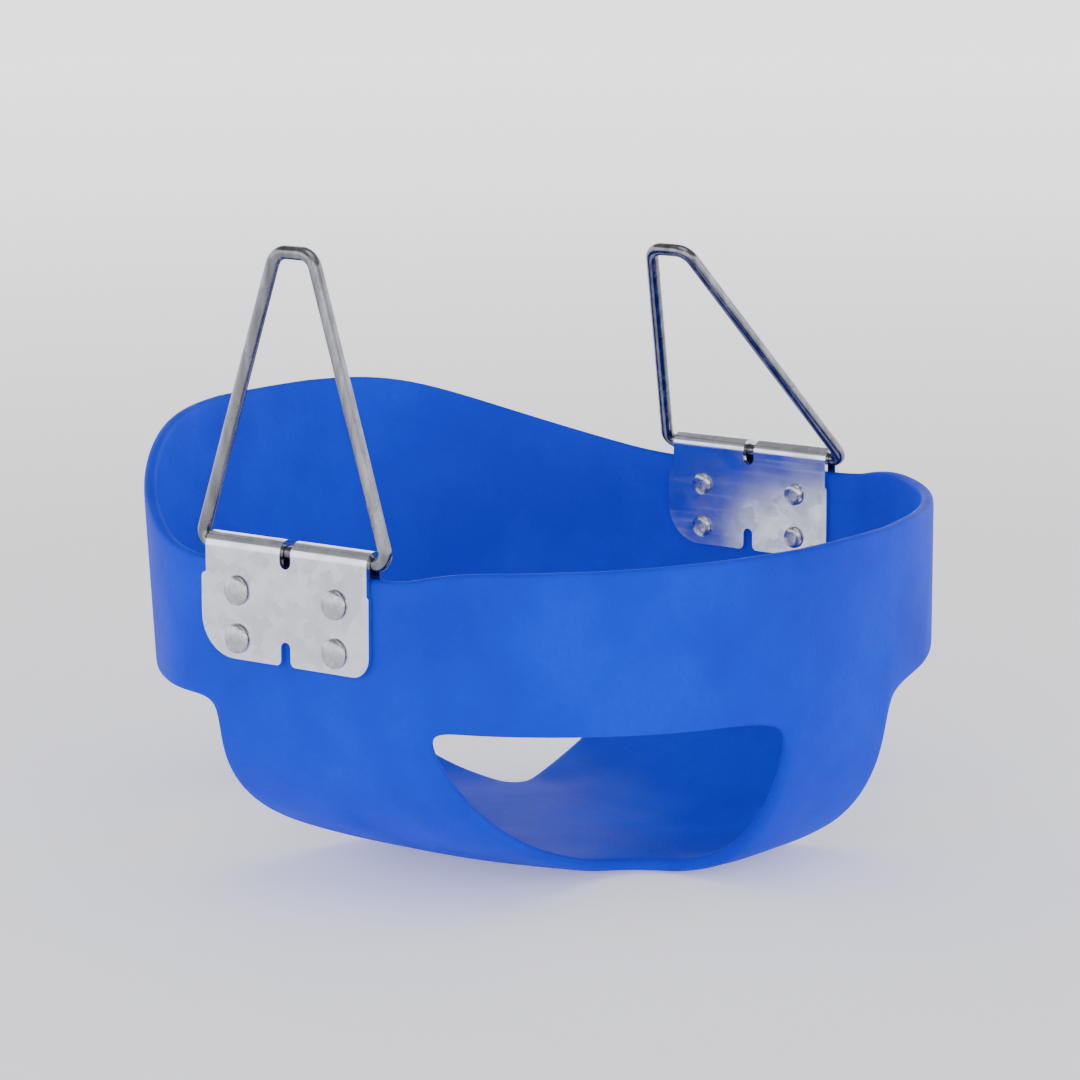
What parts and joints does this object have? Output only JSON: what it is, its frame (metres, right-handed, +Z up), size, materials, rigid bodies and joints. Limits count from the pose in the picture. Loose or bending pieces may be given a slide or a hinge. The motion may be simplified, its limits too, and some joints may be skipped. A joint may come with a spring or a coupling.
{
  "type": "toddler bucket swing",
  "caption": "Toddler bucket swing seat: high-backed moulded bucket with leg openings, riveted folded steel clips and a folding wire hanger on each side.",
  "frame": {"origin": "under the middle of the seat, on the surface that the flat underside of the pan stands on", "axes": "+Z up; the child faces -Y, the high back is at +Y, and the hangers are at -X (left) and +X (right)"},
  "size_m": [0.3652, 0.3373, 0.2832],
  "materials": {
    "moulded_blue": "satin moulded",
    "zinc_plate": "galvanised",
    "zinc_bar": "bright zinc plated",
    "rivet_steel": "plain zinc plated"
  },
  "bodies": {
    "bucket": {"bucket_seat": "moulded_blue", "left_clip_plate": "zinc_plate", "right_clip_plate": "zinc_plate", "left_rivet_1": "rivet_steel", "left_rivet_2": "rivet_steel", "left_rivet_3": "rivet_steel", "left_rivet_4": "rivet_steel", "right_rivet_1": "rivet_steel", "right_rivet_2": "rivet_steel", "right_rivet_3": "rivet_steel", "right_rivet_4": "rivet_steel"},
    "left_hanger": {"left_hanger": "zinc_bar"},
    "right_hanger": {"right_hanger": "zinc_bar"}
  },
  "joints": [
    {"name": "left_hanger_hinge", "type": "hinge", "parent": "bucket", "child": "left_hanger", "pos_m": [-0.174, 0, 0.1522], "axis": [0, 1, 0], "range_deg": [-116, 114]},
    {"name": "right_hanger_hinge", "type": "hinge", "parent": "bucket", "child": "right_hanger", "pos_m": [0.174, 0, 0.1522], "axis": [0, -1, 0], "range_deg": [-150, 80]}
  ]
}
